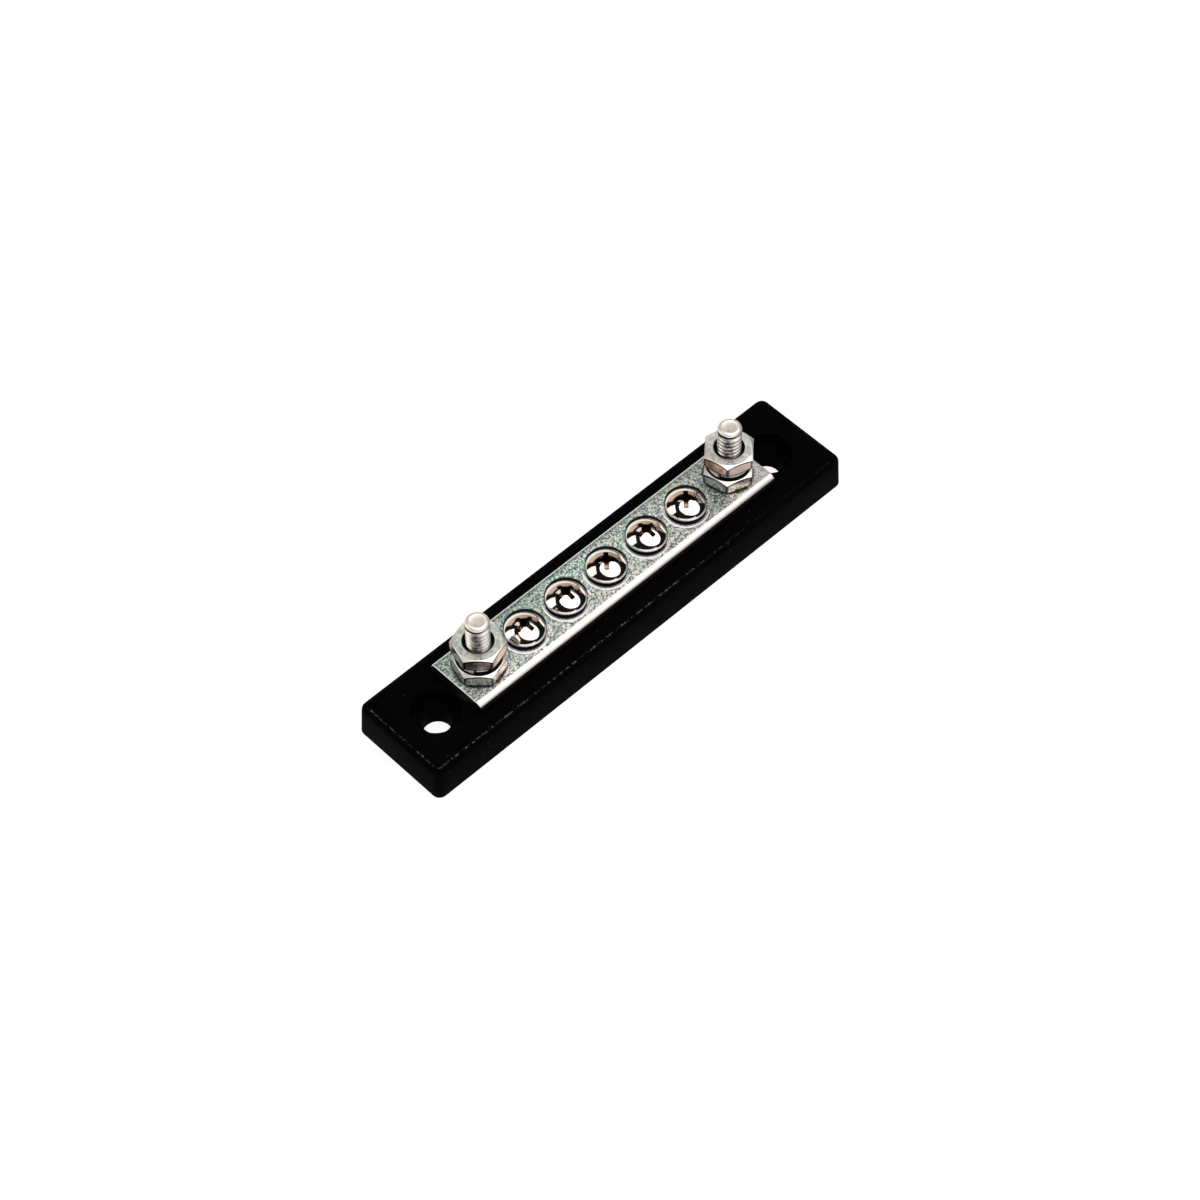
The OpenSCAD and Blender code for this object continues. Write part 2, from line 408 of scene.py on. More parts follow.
# The moulded base
def base_block():
    """Drafted block with rounded corners, top edge and foot."""
    piece = block("base_block", BASE_SIZE, (0, 0, BASE_SIZE.z / 2))
    lean = 2 * BASE_SIZE.z * math.tan(BASE_DRAFT)
    pick(piece, "faces", lambda f: f.normal.z > 0.9)
    bpy.ops.transform.resize(value=(1 - lean / BASE_SIZE.x, 1 - lean / BASE_SIZE.y, 1))
    pick(piece, "edges", is_upright)
    round_off(BASE_CORNER_R, 8)
    top = BASE_SIZE.z - TOUCH
    pick(piece, "edges", lambda e: lowest(e) > top and min(f.normal.z for f in e.link_faces) < 0.5)
    round_off(BASE_EDGE_R, 7)
    pick(piece, "edges", lambda e: highest(e) < TOUCH and max(f.normal.z for f in e.link_faces) > -0.5)
    round_off(BASE_FOOT_R, 3)
    return close(piece)


def mounting_hole_tool(x):
    """Through hole and head recess with rounded lips."""
    floor_z = DECK_Z - RECESS_DEPTH
    top = DECK_Z + SPARE
    lip = arc((RECESS_R + LIP_R, DECK_Z - LIP_R), LIP_R, 180, 90, 5)
    hole_lip = arc((HOLE_R + HOLE_LIP_R, floor_z - HOLE_LIP_R), HOLE_LIP_R, 180, 90, 3)
    corner = arc((RECESS_R - LIP_R, floor_z + LIP_R), LIP_R, -90, 0, 4)
    profile = [(0, -SPARE), (HOLE_R, -SPARE), *hole_lip, *corner, *lip, (RECESS_R + LIP_R, top), (0, top)]
    return moved(turned("mounting_hole_tool", profile), (x, 0, 0))


def underside_tool():
    """Cored pockets between the ribs, kept clear of the bosses of the studs and mounting holes."""
    end_rib = BASE_SIZE.x / 2 - BASE_WALL + RIB_T / 2
    ribs = [-end_rib, -HOLE_X, STUD_X[0], *SCREW_X, STUD_X[1], HOLE_X, end_rib]
    width = (BASE_SIZE.y - SPINE_W) / 2 - BASE_WALL
    height = DECK_Z - DECK_T
    pockets = []
    for a, b in zip(ribs, ribs[1:]):
        for side in (-1, 1):
            size = (b - a - RIB_T, width, height + SPARE)
            place = ((a + b) / 2, side * (SPINE_W + width) / 2, (height - SPARE) / 2)
            pocket = block("pocket_tool", size, place)
            pick(pocket, "edges", is_upright)
            round_off(POCKET_R, 4)
            pick(pocket, "edges", lambda e: lowest(e) > height - TOUCH)
            round_off(LIP_R, 2)
            pockets.append(close(pocket))
    tool = joined(pockets)
    stud_boss_r = hex_corner_r(HEAD_POCKET_AF) + RIB_T
    hole_boss_r = RECESS_R + RIB_T
    for x, radius in zip((*STUD_X, -HOLE_X, HOLE_X), (stud_boss_r, stud_boss_r, hole_boss_r, hole_boss_r)):
        carve(tool, moved(pin("boss_tool", radius, -3 * SPARE, DECK_Z + SPARE), (x, 0, 0)))
    return tool


def stud_socket_tool(x, turn):
    """Hex pocket for the stud's head and the hole above it."""
    tool = moved(hex_prism("socket_tool", HEAD_POCKET_AF, HEAD_POCKET_DEPTH + SPARE), (x, 0, -SPARE), turn)
    carve(tool, moved(pin("stud_hole_tool", STUD_HOLE_R, 0, DECK_Z + SPARE), (x, 0, 0)), "UNION")
    return tool


def make_base(finish):
    piece = base_block()
    carve(piece, underside_tool())
    for x in (-HOLE_X, HOLE_X):
        carve(piece, mounting_hole_tool(x))
    for x, turn in zip(STUD_X, NUT_TURNS):
        carve(piece, stud_socket_tool(x, turn))
    for x in SCREW_X:
        tip_hole = pin("tip_hole_tool", TIP_HOLE_R, TIP_HOLE_Z, DECK_Z + SPARE, BORE_STEPS)
        carve(piece, moved(tip_hole, (x, 0, 0)))
    settle(piece, "moulded_base", "base", finish, (0, 0, 0))


# The tinned bar
def make_bar(finish):
    piece = block("bar", BAR_SIZE, (0, 0, (bar_low.z + bar_high.z) / 2))
    pick(piece, "edges", lambda e: abs(along(e).x) > 0.9)
    round_off(BAR_EDGE_R, 14)
    end = BAR_SIZE.x / 2 - TOUCH
    pick(piece, "edges", lambda e: min(abs(v.co.x) for v in e.verts) > end)
    round_off(BAR_END_R, 3)
    close(piece)
    for x, radius in [(x, STUD_HOLE_R) for x in STUD_X] + [(x, SCREW_HOLE_R) for x in SCREW_X]:
        drill = pin("drill", radius, bar_low.z - SPARE, bar_high.z + SPARE, BORE_STEPS)
        carve(piece, moved(drill, (x, 0, 0)))
    settle(piece, "tinned_bar", "bus_plate", finish, (0, 0, 0))


# The terminal screws
def cross_wing(turn):
    """One wing of the cross recess: narrower at its root, with rounded ends."""
    wing = block("wing_tool", (CROSS_SPAN, CROSS_W, CROSS_DEPTH), (0, 0, HEAD_H - CROSS_DEPTH / 2))
    pick(wing, "faces", lambda f: f.normal.z < -0.9)
    bpy.ops.transform.resize(value=(CROSS_ROOT / CROSS_SPAN, CROSS_TAPER, 1))
    pick(wing, "faces", lambda f: f.normal.z > 0.9)
    bpy.ops.mesh.extrude_region_move(TRANSFORM_OT_translate={"value": (0, 0, SPARE)})
    pick(wing, "edges", lambda e: abs(along(e).z) > 0.6
         and abs(e.verts[0].co.x + e.verts[1].co.x) > CROSS_ROOT)
    round_off(CROSS_END_R, 3)
    return moved(close(wing), turn=turn)


def cross_tool():
    """Two crossed wings and a cone in the middle."""
    tool = cross_wing(0)
    carve(tool, cross_wing(90), "UNION")
    low = HEAD_H - CROSS_DEPTH - CROSS_CORE_DROP
    high = HEAD_H + CROSS_CORE_RISE
    cone = [(0, low), (CROSS_W / 2, low), (CROSS_CORE_R, HEAD_H), (CROSS_CORE_R, high), (0, high)]
    carve(tool, turned("cone_tool", cone, CONE_STEPS), "UNION")
    return tool


def screw_model():
    """Pan head with a rounded rim and a cross recess, on a plain shank."""
    slope = math.degrees(math.asin((HEAD_R - RIM_R) / (DOME_R - RIM_R)))
    rim_z = HEAD_H - DOME_R + (DOME_R - RIM_R) * math.cos(math.radians(slope))
    profile = [
        (0, -SCREW_LEN), (SCREW_SHANK_R - SCREW_TIP_CHAMFER, -SCREW_LEN),
        (SCREW_SHANK_R, -SCREW_LEN + SCREW_TIP_CHAMFER), (SCREW_SHANK_R, 0),
        (HEAD_R - HEAD_FOOT, 0), (HEAD_R, HEAD_FOOT),
    ]
    profile += arc((HEAD_R - RIM_R, rim_z), RIM_R, 0, 90 - slope, 8)
    profile += arc((0, HEAD_H - DOME_R), DOME_R, 90 - slope, 90, 16)[1:]
    piece = turned("screw_model", profile)
    carve(piece, cross_tool())
    return piece


def make_screws(finishes):
    model = screw_model()
    for i, (node, x, finish) in enumerate(zip(SCREWS, SCREW_X, finishes)):
        piece = copy_of(model)
        settle(piece, f"pan_screw_{i + 1}", node, finish, (x, 0, BAR_TOP), CROSS_TURNS[i])
    bpy.data.objects.remove(model)


# The studs with their nuts and washers
def thread(low, high):
    """A right-hand thread with flat crests and roots, longer than the stretch asked for at both ends."""
    flank = (PITCH - CREST_FLAT - ROOT_FLAT) / 2
    rise = ROOT_FLAT + flank
    piece = drawn_line("thread", [
        (ROOT_R, 0), (ROOT_R, ROOT_FLAT), (CREST_R, rise), (CREST_R, rise + CREST_FLAT), (ROOT_R, PITCH),
    ])
    bpy.ops.transform.translate(value=(0, 0, low - SPARE_TURNS * PITCH))
    turns = math.ceil((high - low) / PITCH) + 2 * SPARE_TURNS
    return swept(piece, 2 * math.pi, PITCH, turns, THREAD_STEPS)


def stud_cap(cap_z, tip):
    """Core, groove, straight rim, rounded edge and dished face of the stud's smooth end."""
    core_r = ROOT_R - CLEAR
    core = [(0, cap_z - 2), (core_r, cap_z - 2), (core_r, cap_z - 0.6)]
    groove = [(NECK_R, cap_z - 0.5), (NECK_R, cap_z - 0.15)]
    rim = [(CREST_R, cap_z), (CREST_R, tip - TIP_CHAMFER)]
    edge = [(CREST_R - 0.1, tip - 0.4), (CREST_R - 0.32, tip - 0.15), (TIP_FACE_R + 0.1, tip - 0.02)]
    face = [(TIP_FACE_R, tip), (TIP_FACE_R - 0.12, tip - 0.02), (TIP_FACE_R - 0.4, tip - 0.1)]
    dish = [(0.5, tip - TIP_DISH), (0, tip - TIP_DISH)]
    return turned("stud_cap", core + groove + rim + edge + face + dish)


def stud_model():
    """Hex head, plain shank, a threaded end and a smooth cap."""
    low = BAR_TOP - THREAD_START
    tip = stud_high.z
    cap_z = tip - TIP_CHAMFER - CAP_RIM
    reach = CREST_R + CLEAR
    runout_low, runout_high = [cap_z - drop for drop in THREAD_RUNOUT]
    piece = thread(low, tip)
    blank = turned("stud_blank", [
        (0, low), (reach, low), (reach, runout_low), (ROOT_R, runout_high), (0, runout_high),
    ])
    carve(piece, blank, "INTERSECT")
    carve(piece, stud_cap(cap_z, tip), "UNION")
    in_head, in_thread = SHANK_OVERLAP
    shank = pin("shank", SHANK_R, stud_low.z + HEX_HEAD_H - in_head, low + in_thread, BORE_STEPS)
    head = moved(hex_blank("hex_head", HEX_HEAD_AF, HEX_HEAD_H, HEX_HEAD_FACE_R), (0, 0, stud_low.z))
    carve(shank, head, "UNION")
    carve(piece, shank, "UNION")
    return piece


def nut_model():
    """Chamfered hex nut, its bore countersunk on both faces."""
    piece = hex_blank("nut_model", NUT_AF, NUT_T, NUT_FACE_R)
    sink = NUT_SINK_R - NUT_BORE_R
    bore = turned("bore_tool", [
        (0, -SPARE), (NUT_SINK_R + SPARE, -SPARE), (NUT_BORE_R, sink), (NUT_BORE_R, NUT_T - sink),
        (NUT_SINK_R + SPARE, NUT_T + SPARE), (0, NUT_T + SPARE),
    ])
    carve(piece, bore)
    return piece


def washer_model():
    """Split spring washer: a flat section swept through one left-hand turn with a small rise."""
    bpy.ops.object.select_all(action="DESELECT")
    bpy.ops.mesh.primitive_plane_add(size=1)
    piece = open_new("washer_model")
    bpy.ops.transform.rotate(value=math.radians(90), orient_axis="X", center_override=(0, 0, 0))
    bpy.ops.transform.resize(value=(WASHER_OUT_R - WASHER_IN_R, 1, WASHER_T))
    bpy.ops.transform.translate(value=((WASHER_OUT_R + WASHER_IN_R) / 2, 0, WASHER_T / 2))
    bpy.ops.mesh.bevel(offset=WASHER_EDGE_R, segments=3, affect="VERTICES")
    bpy.ops.mesh.delete(type="ONLY_FACE")
    gap = math.asin(WASHER_SPLIT / WASHER_OUT_R)
    lift = washer_high.z - washer_low.z - WASHER_T
    swept(piece, gap - 2 * math.pi, lift, 1, WASHER_STEPS)
    return moved(piece, turn=-math.degrees(gap) / 2)


def make_stacks(stud_finishes, nut_finishes, washer_finishes):
    stud, nut, washer = stud_model(), nut_model(), washer_model()
    for i, (end, x) in enumerate(zip(ENDS, STUD_X)):
        turn, split_turn = NUT_TURNS[i], SPLIT_TURNS[i]
        metal, plating, spring = stud_finishes[i], nut_finishes[i], washer_finishes[i]
        stack = (
            (stud, "threaded_stud", "stud_bolt", "stud_metal", metal, 0, turn),
            (nut, "lower_nut", "clamp_nut", "nut_metal", plating, lower_low.z, turn),
            (washer, "spring_washer", "lock_washer", "washer_metal", spring, washer_low.z, split_turn),
            (nut, "upper_nut", "terminal_nut", "nut_metal", plating, UPPER_NUT_Z, turn),
        )
        for model, name, node, slot, finish, z, angle in stack:
            settle(copy_of(model), f"{name}_{end}", f"{node}_{end}", finish, (x, 0, z), angle)
    for model in (stud, nut, washer):
        bpy.data.objects.remove(model)


# Shader building
def set_inputs(tree, made, values):
    """Sets a shader node's inputs; a value is a number, a colour or another node's output."""
    for key, value in values.items():
        if isinstance(value, bpy.types.NodeSocket):
            tree.links.new(value, made.inputs[key])
        else:
            made.inputs[key].default_value = value


def put(tree, kind, values=None, **settings):
    """Adds a shader node with its settings and inputs."""
    made = tree.nodes.new("ShaderNode" + kind)
    for key, value in settings.items():
        setattr(made, key, value)
    set_inputs(tree, made, values or {})
    return made


def math_node(tree, operation, a, b=0.0, c=0.0):
    return put(tree, "Math", {0: a, 1: b, 2: c}, operation=operation).outputs[0]


def times(tree, *values):
    return reduce(lambda a, b: math_node(tree, "MULTIPLY", a, b), values)


def largest(tree, *values):
    return reduce(lambda a, b: math_node(tree, "MAXIMUM", a, b), values)


def minus(tree, a, b):
    return math_node(tree, "SUBTRACT", a, b)


def size_of(tree, value):
    return math_node(tree, "ABSOLUTE", value)


def ramp(tree, value, low, high, to_low=0.0, to_high=1.0):
    """Smooth step of a value from one range to another."""
    inputs = {"Value": value, "From Min": low, "From Max": high, "To Min": to_low, "To Max": to_high}
    return put(tree, "MapRange", inputs, interpolation_type="SMOOTHSTEP").outputs["Result"]


def band(tree, value, a, b, c, d):
    """1 from b to c, falling to 0 at a and at d."""
    return times(tree, ramp(tree, value, a, b), ramp(tree, value, d, c))


def blend(tree, fac, a, b):
    """Mixes two colours, each three numbers or another node's output."""
    a, b = [value if isinstance(value, bpy.types.NodeSocket) else (*value, 1.0) for value in (a, b)]
    return put(tree, "Mix", {"Factor": fac, 6: a, 7: b}, data_type="RGBA").outputs[2]


def mix_value(tree, fac, a, b):
    return put(tree, "Mix", {"Factor": fac, 2: a, 3: b}, data_type="FLOAT").outputs[0]


def noise(tree, place, scale, detail=2.0, roughness=0.5, output="Fac"):
    inputs = {"Vector": place, "Scale": scale, "Detail": detail, "Roughness": roughness}
    return put(tree, "TexNoise", inputs).outputs[output]


def split(tree, vector):
    """The X, Y and Z of a vector."""
    return put(tree, "SeparateXYZ", {"Vector": vector}).outputs


def plan_vector(tree, x, y):
    return put(tree, "CombineXYZ", {"X": x, "Y": y}).outputs["Vector"]


def in_plan(tree, vector):
    """A vector without its height."""
    return put(tree, "VectorMath", {0: vector, 1: (1, 1, 0)}, operation="MULTIPLY").outputs[0]


def length(tree, vector):
    return put(tree, "VectorMath", {0: vector}, operation="LENGTH").outputs["Value"]


def dot(tree, vector, axis):
    return put(tree, "VectorMath", {0: vector, 1: axis}, operation="DOT_PRODUCT").outputs["Value"]


def bearings(tree, vector):
    """How far a vector goes away from the camera and to its right."""
    return dot(tree, vector, AWAY), dot(tree, vector, RIGHT)


def turn_of(tree, vector):
    """Turn of a vector to the right from straight ahead of the camera, in degrees."""
    away, right = bearings(tree, vector)
    return math_node(tree, "DEGREES", math_node(tree, "ARCTAN2", right, away))


def bump(tree, height, depth, strength):
    """A bump normal; depth in millimetres."""
    inputs = {"Height": height, "Distance": depth * MM, "Strength": strength}
    return put(tree, "Bump", inputs).outputs["Normal"]


# Effects that several finishes share
def new_group(name, settings, defaults):
    """An effect that turns a place and its settings into one value, with its inputs and its result."""
    tree = bpy.data.node_groups.new(name, "ShaderNodeTree")
    tree.interface.new_socket(name="Vector", in_out="INPUT", socket_type="NodeSocketVector")
    for socket_name, value in zip(settings, defaults):
        socket = tree.interface.new_socket(name=socket_name, in_out="INPUT", socket_type="NodeSocketFloat")
        socket.default_value = value
    tree.interface.new_socket(name="Fac", in_out="OUTPUT", socket_type="NodeSocketFloat")
    return tree, tree.nodes.new("NodeGroupInput").outputs, tree.nodes.new("NodeGroupOutput").inputs["Fac"]


def uneven_group():
    """Soft patches over fine grain, from 0 to 1."""
    tree, given, result = new_group("uneven_finish", ("Patches", "Grain"), (0.3, 4.0))
    patches = noise(tree, given["Vector"], given["Patches"], detail=3.0)
    grain = noise(tree, given["Vector"], given["Grain"])
    both = math_node(tree, "MULTIPLY_ADD", patches, 0.65, times(tree, grain, 0.35))
    tree.links.new(ramp(tree, both, 0.3, 0.7), result)
    return tree


def scratch_group():
    """Fine scratches in two directions, 1 in a scratch."""
    tree, given, result = new_group("fine_scratches", ("Amount",), (0.5,))
    lines = []
    for turn, stretch in ((0.35, (0.25, 9.0, 0.25)), (-0.9, (0.3, 7.0, 0.3))):
        inputs = {"Vector": given["Vector"], "Rotation": (0, 0, turn), "Scale": stretch}
        mapped = put(tree, "Mapping", inputs).outputs["Vector"]
        lines.append(ramp(tree, noise(tree, mapped, 1.0), 0.66, 0.74))
    tree.links.new(times(tree, largest(tree, *lines), given["Amount"]), result)
    return tree


def rings_group():
    """Tool marks round the Z axis, from 0 to 1."""
    tree, given, result = new_group("turned_marks", ("Pitch",), (0.12,))
    radius = length(tree, in_plan(tree, given["Vector"]))
    wobble = noise(tree, given["Vector"], 0.8, detail=1.0)
    phase = math_node(tree, "DIVIDE", math_node(tree, "MULTIPLY_ADD", wobble, 0.2, radius), given["Pitch"])
    wave = math_node(tree, "SINE", times(tree, phase, 2 * math.pi))
    tree.links.new(ramp(tree, wave, -1.0, 1.0), result)
    return tree


GROUPS = {"uneven": uneven_group(), "scratches": scratch_group(), "rings": rings_group()}


def effect(tree, name, **values):
    """Places a shared effect in a material."""
    return put(tree, "Group", values, node_tree=GROUPS[name]).outputs["Fac"]


# Finishes
def new_finish(name, centre=(0, 0, 0)):
    """A material with a Principled shader, and the piece's coordinates in millimetres about a centre."""
    material = bpy.data.materials.new(name)
    material.use_nodes = True
    tree = material.node_tree
    inputs = {
        "Vector": put(tree, "TexCoord").outputs["Object"],
        "Location": [-c for c in centre],
        "Scale": (1 / MM,) * 3,
    }
    place = put(tree, "Mapping", inputs, vector_type="POINT").outputs["Vector"]
    return material, tree, tree.nodes["Principled BSDF"], place


def plastic_finish():
    """Black moulded plastic: fine spark texture, a broken painted highlight on the rounded top edges,
    strongest on the front and left and partly wear, and a few specks.
    """
    material, tree, shader, place = new_finish("black_moulding")
    x, y, height = split(tree, place)
    front_y, left_x = -BASE_SIZE.y / 2, -BASE_SIZE.x / 2
    grain = noise(tree, place, 3.6, detail=4.0, roughness=0.6)
    pits = put(tree, "TexVoronoi", {"Vector": place, "Scale": 2.8}, feature="SMOOTH_F1").outputs["Distance"]
    texture = math_node(tree, "MULTIPLY_ADD", pits, 0.5, times(tree, grain, 0.7))
    # Painted highlight, partly wear: a broken grey band on the rounded top edges, strongest along the front
    # and the left end.
    front = times(tree, ramp(tree, y, front_y + 1.7, front_y + 1.5), ramp(tree, x, 36, 0))
    left = ramp(tree, x, left_x + 1.7, left_x + 1.5)
    curve = band(tree, height, DECK_Z - 0.1, DECK_Z - 0.06, DECK_Z - 0.02, DECK_Z - 0.008)
    broken = ramp(tree, noise(tree, place, 1.5, detail=4.0, roughness=0.75), 0.48, 0.64)
    edge_highlight_and_wear = times(tree, largest(tree, front, left, 0.1), curve, broken)
    cells = put(tree, "TexVoronoi", {"Vector": place, "Scale": 0.6}).outputs
    chance = split(tree, cells["Color"])["X"]
    speck = times(tree, ramp(tree, cells["Distance"], 0.12, 0.05), ramp(tree, chance, 0.78, 0.8))
    marks = largest(tree, edge_highlight_and_wear, times(tree, speck, 0.35))
    patches = effect(tree, "uneven", Vector=place, Patches=0.12, Grain=2.2)
    black = blend(tree, patches, (0.0011, 0.0011, 0.0013), (0.0021, 0.0021, 0.0023))
    set_inputs(tree, shader, {
        # The painted edge highlight and the specks lift the black to this grey.
        "Base Color": blend(tree, marks, black, (0.11, 0.11, 0.112)),
        "Roughness": ramp(tree, patches, 0.0, 1.0, 0.52, 0.64),
        "IOR": 1.045,
        "Normal": bump(tree, texture, 0.03, 0.5),
    })
    return material


def fastener_distances(tree, place):
    """Distance from the nearest screw, how far that is behind it, and distance from the nearest stud.

    All are in plan. The first is stretched, so that a ring of it follows a head's outline in the picture.
    """
    x, y, _ = split(tree, place)
    pitch = SCREW_X[1] - SCREW_X[0]
    nearest = math_node(tree, "ROUND", math_node(tree, "DIVIDE", x, pitch))
    nearest = math_node(tree, "MAXIMUM", nearest, round(SCREW_X[0] / pitch))
    nearest = math_node(tree, "MINIMUM", nearest, round(SCREW_X[-1] / pitch))
    behind, beside = bearings(tree, plan_vector(tree, minus(tree, x, times(tree, nearest, pitch)), y))
    stretched = times(tree, minus(tree, behind, 0.33), 0.873)
    from_screw = length(tree, plan_vector(tree, beside, stretched))
    from_stud = length(tree, plan_vector(tree, minus(tree, size_of(tree, x), STUD_X[1]), y))
    return from_screw, behind, from_stud


def tin_mottling(tree, place, fine):
    """Deep, plain and pale tin in fine grains, greener at the back and left, with coloured spots; the right
    end is lightened as painted light, and the back of the left part is darkened as painted shade.
    """
    x, y, _ = split(tree, place)
    green, lilac, ivory = split(tree, noise(tree, place, 1.0, roughness=0.6, output="Color"))
    grain = noise(tree, place, 2.9, detail=1.0)
    back = times(tree, ramp(tree, y, -6.0, 4.0), ramp(tree, x, 34.0, -10.0))
    right_spot = ramp(tree, size_of(tree, minus(tree, x, 26.0)), 8.0, 3.0, 0.0, 0.6)
    back = largest(tree, back, right_spot)
    deep = blend(tree, back, (0.15, 0.145, 0.13), (0.08, 0.18, 0.15))
    plain = blend(tree, back, (0.58, 0.56, 0.50), (0.32, 0.46, 0.40))
    pale = blend(tree, back, (1.0, 0.98, 0.90), (0.72, 0.90, 0.80))
    tone = blend(tree, ramp(tree, fine, 0.39, 0.48), deep, plain)
    tone = blend(tree, ramp(tree, fine, 0.52, 0.61), tone, pale)
    spots = (
        (green, 0.47, 0.6, 0.65, (0.18, 0.45, 0.34)),
        (lilac, 0.5, 0.62, 0.65, (0.44, 0.41, 0.62)),
        (ivory, 0.52, 0.66, 0.6, (0.94, 0.80, 0.58)),
        (grain, 0.45, 0.37, 0.85, (0.09, 0.10, 0.09)),
        (grain, 0.55, 0.63, 0.85, (1.0, 0.98, 0.90)),
        # Painted light: the right end is lightened against the shade of the right stack.
        (x, 33.0, 37.5, 0.4, (0.98, 0.93, 0.94)),
    )
    for value, none, full, amount, colour in spots:
        tone = blend(tree, ramp(tree, value, none, full, 0.0, amount), tone, colour)
    # Painted shade: the back of the bar's left part is darkened towards deep green.
    dim = times(tree, back, ramp(tree, x, -8.0, -18.0, 0.0, 0.3))
    return blend(tree, dim, tone, (0.06, 0.16, 0.12))


def tin_finish():
    """Dull mottled tin on the bar's flats, satin on its rounded edges, with painted highlights on the front,
    end and back edges, a painted dark reflection low on its front and ends, painted shadows and pale painted
    halos round the screw heads, and painted shade round the lower nuts.
    """
    material, tree, shader, place = new_finish("tin_plate")
    x, y, _ = split(tree, place)
    normal_z = split(tree, put(tree, "NewGeometry").outputs["True Normal"])["Z"]
    up = size_of(tree, normal_z)
    end_x = BAR_SIZE.x / 2 - BAR_END_R
    ends = ramp(tree, size_of(tree, x), end_x - 0.1, end_x)
    edge = ramp(tree, up, 0.9992, 0.9975)
    # Painted highlight: the rounded front and end edges are paled.
    bright = times(tree, edge, largest(tree, ends, ramp(tree, y, 2.0, -2.0)))
    # Painted highlight: the rounded back edge is paled towards green-white.
    back_edge_highlight = times(tree, ramp(tree, normal_z, 0.9, 0.8), ramp(tree, y, 2.0, 4.0))
    # Painted dark reflection: the lower part of the rounded front and end edges is darkened nearly to black.
    side = times(tree, ramp(tree, up, 0.62, 0.53), largest(tree, ends, ramp(tree, y, 0.0, -1.0)))
    fine = noise(tree, place, 2.1, roughness=0.7)
    tone = tin_mottling(tree, place, fine)
    tone = blend(tree, bright, tone, (0.96, 0.87, 0.84))
    tone = blend(tree, back_edge_highlight, tone, (0.92, 1.0, 0.93))
    screw, behind, stud = fastener_distances(tree, place)
    # Painted shade: a dull lilac band round each screw head, on the side towards the camera.
    near = ramp(tree, behind, -0.5, -3.0, 0.1, 1.0)
    dull = times(tree, ramp(tree, screw, HEAD_R + 0.62, HEAD_R + 0.48), near, 0.7)
    tone = blend(tree, dull, tone, (0.30, 0.28, 0.38))
    # Painted highlight: a pale halo just beyond that band, on the same side.
    painted_pale_halo = times(tree, band(tree, screw, HEAD_R + 0.5, HEAD_R + 0.65, HEAD_R + 0.8, HEAD_R + 0.95), near)
    tone = blend(tree, painted_pale_halo, tone, (1.0, 0.98, 0.94))
    outline = ramp(tree, size_of(tree, behind), 0.5, 3.0, 0.04, 0.22)
    gap = minus(tree, minus(tree, screw, HEAD_R), outline)
    shade = largest(tree, ramp(tree, gap, 0.14, 0.0), ramp(tree, stud, 5.45, 4.95, 0.0, 0.8))
    tone = blend(tree, shade, tone, (0.012, 0.012, 0.015))
    flat_rough = ramp(tree, fine, 0.3, 0.7, 0.54, 0.46)
    rough = mix_value(tree, bright, flat_rough, ramp(tree, up, 0.88, 0.74, 0.3, 0.56))
    scratches = effect(tree, "scratches", Vector=place, Amount=0.4)
    relief = minus(tree, fine, times(tree, scratches, 0.5))
    set_inputs(tree, shader, {
        # Here the lower front and end edges take their painted dark reflection.
        "Base Color": blend(tree, side, tone, (0.012, 0.011, 0.012)),
        "Metallic": 1.0,
        "Roughness": mix_value(tree, side, rough, 0.55),
        "Normal": bump(tree, times(tree, relief, minus(tree, 1.0, edge)), 0.012, 0.4),
    })
    return material


def screw_finish(i, x):
    """Bright warm plating, a paler satin rim that is partly a painted highlight, a foot painted dark as
    shade, and a cross painted dark as shade with a painted gold glint in its middle on the near side.
    """
    material, tree, shader, place = new_finish(f"bright_plating_{i}", (x, 0, BAR_TOP))
    from_centre = put(tree, "VectorMath", {0: place, 1: (0, 0, DOME_R - HEAD_H)}, operation="ADD").outputs[0]
    depth = minus(tree, DOME_R, length(tree, from_centre))
    plan = in_plan(tree, place)
    radius = length(tree, plan)
    height = split(tree, place)["Z"]
    hollow = times(tree, ramp(tree, depth, 0.02, 0.14), ramp(tree, radius, 2.9, 2.6))
    patches = effect(tree, "uneven", Vector=place, Patches=0.5, Grain=5.0)
    scratches = effect(tree, "scratches", Vector=place, Amount=0.5)
    # The rim is paler and rougher: a satin finish, and partly a painted highlight.
    rim = ramp(tree, height, 1.02, 0.9)
    plate = blend(tree, patches, (0.84, 0.73, 0.64), (0.89, 0.81, 0.73))
    plate = blend(tree, rim, plate, (0.97, 0.93, 0.89))
    # Painted shade: the foot of the head is darkened nearly to black.
    plate = blend(tree, ramp(tree, height, 0.36, 0.26), plate, (0.02, 0.017, 0.02))
    # Painted shade in the cross recess, with a painted gold glint in its middle on the side towards the
    # camera.
    painted_glint = times(tree, ramp(tree, radius, 1.0, 0.6), ramp(tree, dot(tree, plan, AWAY), 0.5, -0.3))
    recess_shade_and_glint = blend(tree, painted_glint, (0.035, 0.02, 0.016), (0.85, 0.60, 0.38))
    polish = math_node(tree, "MULTIPLY_ADD", scratches, 0.08, ramp(tree, patches, 0.0, 1.0, 0.04, 0.09))
    set_inputs(tree, shader, {
        "Base Color": blend(tree, hollow, plate, recess_shade_and_glint),
        "Metallic": 1.0,
        "Roughness": math_node(tree, "MULTIPLY_ADD", rim, 0.2, polish),
        "Normal": bump(tree, patches, 0.004, 0.6),
    })
    return material


